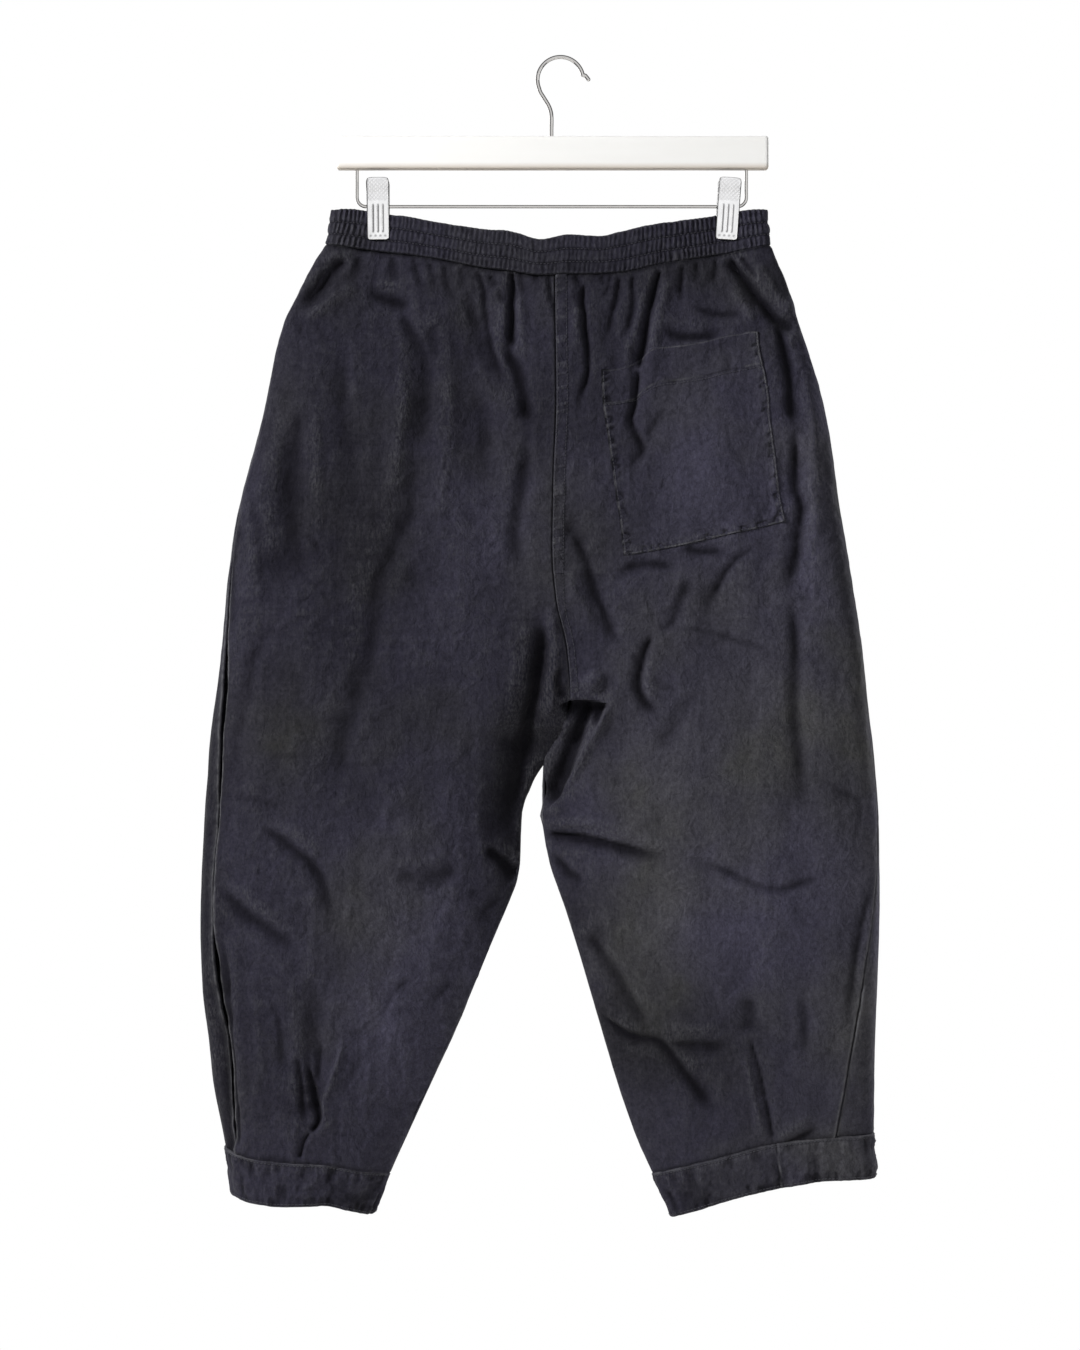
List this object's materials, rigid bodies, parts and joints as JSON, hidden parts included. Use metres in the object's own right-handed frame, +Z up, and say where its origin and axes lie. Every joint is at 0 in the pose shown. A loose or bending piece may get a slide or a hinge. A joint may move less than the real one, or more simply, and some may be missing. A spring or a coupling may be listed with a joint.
{
  "type": "barrel leg trousers on a clip hanger",
  "caption": "Cropped barrel leg trousers with a gathered elastic waistband, a back patch pocket and cuffs, hung flat from the clips of a white bar hanger with a wire hook.",
  "frame": {"origin": "top of the inside of the hanger's hook, where it rests on a rail", "axes": "+Z up; +X towards the wearer's right, which is the picture's right; -Y out of the garment's back, towards the picture's camera; +Y out of its front"},
  "size_m": [0.5969, 0.0583, 1.022],
  "materials": {
    "cloth": "matte charcoal cotton, plain weave, lightly crinkled",
    "band_cloth": "matte charcoal cotton gathered on elastic",
    "white_paint": "satin white paint on wood",
    "bright_steel": "bright plated steel wire and sheet"
  },
  "bodies": {
    "root": {"waistband": "band_cloth", "back_left": "cloth", "back_right": "cloth", "front_left": "cloth", "front_right": "cloth", "cuff_left": "cloth", "cuff_right": "cloth", "pocket_back_right": "cloth", "hanger_bar": "white_paint", "hanger_hook": "bright_steel", "hanger_rail": "bright_steel", "clip_left_back_jaw": "bright_steel", "clip_left_front_jaw": "bright_steel", "clip_left_spring": "bright_steel", "clip_right_back_jaw": "bright_steel", "clip_right_front_jaw": "bright_steel", "clip_right_spring": "bright_steel"}
  },
  "joints": []
}
